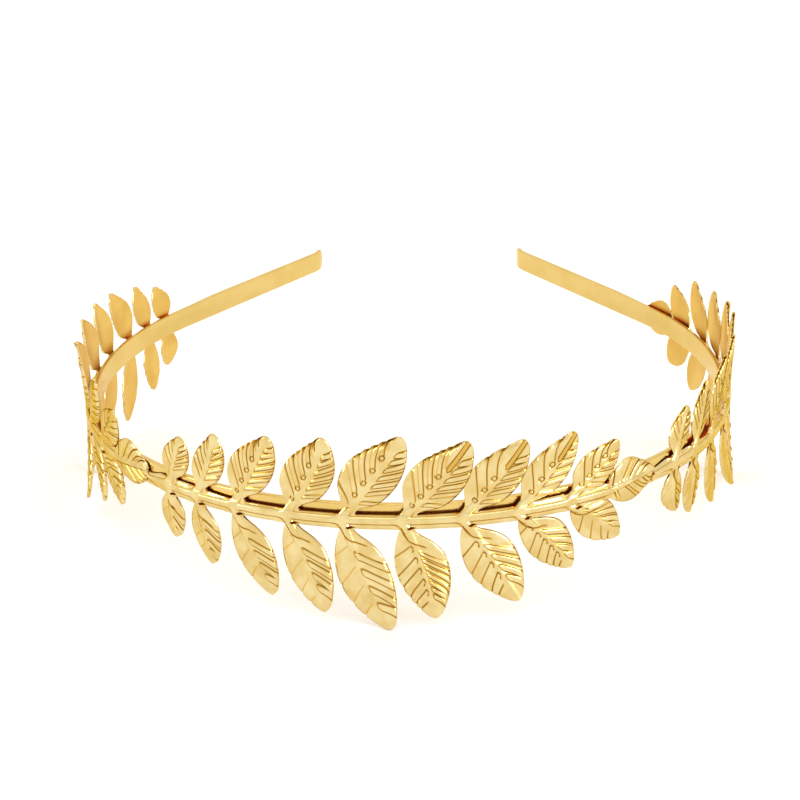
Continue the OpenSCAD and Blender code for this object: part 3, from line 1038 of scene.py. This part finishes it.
def satin_gold(name, deep, pale, smoothest, roughest, open_from):
    material, tree = new_material(name)
    place = add(tree, "ShaderNodeTexCoord").outputs["Object"]
    in_mm = add(tree, "ShaderNodeMapping", inputs={"Vector": place, "Scale": PER_METRE}).outputs[0]
    clouds = add(tree, "ShaderNodeTexNoise", inputs={
        "Vector": in_mm, "Scale": 1 / SATIN_CLOUD_MM, "Detail": 3
    }).outputs[0]
    share = add(tree, "ShaderNodeMapRange", inputs={
        "Value": clouds, "From Min": CLOUD_LOW, "From Max": CLOUD_HIGH
    }).outputs[0]
    tone = add(tree, "ShaderNodeMix", {"data_type": "RGBA"}, {
        0: share, 6: hex_colour(deep), 7: hex_colour(pale)
    }).outputs[2]
    grain = add(tree, "ShaderNodeTexNoise", inputs={
        "Vector": in_mm, "Scale": 1 / GRAIN_MM, "Detail": 2
    }).outputs[0]
    bump = add(tree, "ShaderNodeBump", inputs={
        "Height": grain, "Strength": 0.15, "Distance": 0.03 * MM
    }).outputs[0]
    roughness = add(tree, "ShaderNodeMapRange", inputs={
        "Value": grain, "From Min": NOISE_LOW, "From Max": NOISE_HIGH,
        "To Min": smoothest, "To Max": roughest
    }).outputs[0]
    # Closed places, such as the strip's face in the slots, get the painted copper-red shade.
    shader = add(tree, "ShaderNodeBsdfPrincipled", inputs={
        "Base Color": painted_slot_shade(tree, tone, SATIN_SHUT, open_from), "Metallic": 1,
        "Specular Tint": hex_colour("#FBEFD4"), "Roughness": roughness, "Normal": bump
    }).outputs[0]
    add(tree, "ShaderNodeOutputMaterial", inputs={"Surface": shader})
    return material


strip_gold = satin_gold("gold_plated_steel_satin", "#D7B76A", "#DDBE76", 0.16, 0.22, 0.72)
back_gold = satin_gold("gold_plated_brass_unpolished", "#D6AB55", "#E0BB67", 0.3, 0.38, 0.85)
strip.data.materials.append(strip_gold)
for piece in sprays:
    piece.data.materials.append(leaf_gold)
    piece.data.materials.append(back_gold)
print("materials:", [material.name for material in (strip_gold, leaf_gold, back_gold)])

# %% [markdown]
# ## Tying the pieces to the frame
# Each new piece stands for one CAD node and rides on the only body there is.

# %% Hide the CAD nodes and tie the pieces to the body
for piece, node, slot in zip(
    [strip] + sprays,
    ["band", "left_spray", "front_spray", "right_spray"],
    ["gold_band", "gold_leaf", "gold_leaf", "gold_leaf"],
):
    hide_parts(node)
    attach(piece, "root")
    print(piece.name, "stands for", node)

# %% [markdown]
# ## The floor
# Polished metal shows what stands around it. The front of the leaves mirrors the floor before
# them, so a pale, brightly lit floor is what makes the gold look pale. It is a round sheet of
# matt studio paper, wide enough to have no edge in the picture.

# %% Lay the floor
FLOOR_R, FLOOR_SIDES = 3.0, 96


def pale_floor():
    material, tree = new_material("pale_studio_paper")
    shader = add(tree, "ShaderNodeBsdfPrincipled", inputs={
        "Base Color": hex_colour("#F4F3F0"), "Roughness": 0.9, "Specular IOR Level": 0.1
    }).outputs[0]
    add(tree, "ShaderNodeOutputMaterial", inputs={"Surface": shader})
    return material


bm = bmesh.new()
bmesh.ops.create_circle(bm, cap_ends=True, segments=FLOOR_SIDES, radius=FLOOR_R)
floor = finish_piece(bm, "floor")
floor.data.materials.append(pale_floor())
print("floor:", 2 * FLOOR_R, "m across")

# %% [markdown]
# ## The light
# White surroundings light the headband softly from all sides. A wide soft box overhead lights the
# floor a little more, and two low boxes at the sides put bright sparks on the ledges and bars
# that lean towards them. The right one is stronger, so that side of the front sparkles more.

# %% Set the lights
FLOOR_MIDDLE = Vector((0, 0, 0))


def soft_box(name, place, width, height, power):
    """A rectangular light that faces the middle of the floor, in metres and watts."""
    light = bpy.data.lights.new(name, "AREA")
    light.shape = "RECTANGLE"
    light.size, light.size_y = width, height
    light.energy = power
    box = bpy.data.objects.new(name, light)
    bpy.context.scene.collection.objects.link(box)
    box.location = place
    box.rotation_euler = (FLOOR_MIDDLE - Vector(place)).to_track_quat("-Z", "Y").to_euler()


soft_box("overhead_box", (0, 0, 2.2), 1.8, 1.8, 7.5)
soft_box("left_box", (-1.83, -0.8, 0.45), 0.9, 0.7, 13)
soft_box("right_box", (1.65, -1.15, 0.45), 0.9, 0.7, 24)

world = bpy.data.worlds.new("studio")
bpy.context.scene.world = world
world.use_nodes = True
surroundings = world.node_tree.nodes["Background"].inputs
surroundings["Color"].default_value = hex_colour("#FFFFFF")
surroundings["Strength"].default_value = 1.1

bpy.context.scene.view_settings.view_transform = "Standard"
bpy.context.scene.view_settings.look = "None"
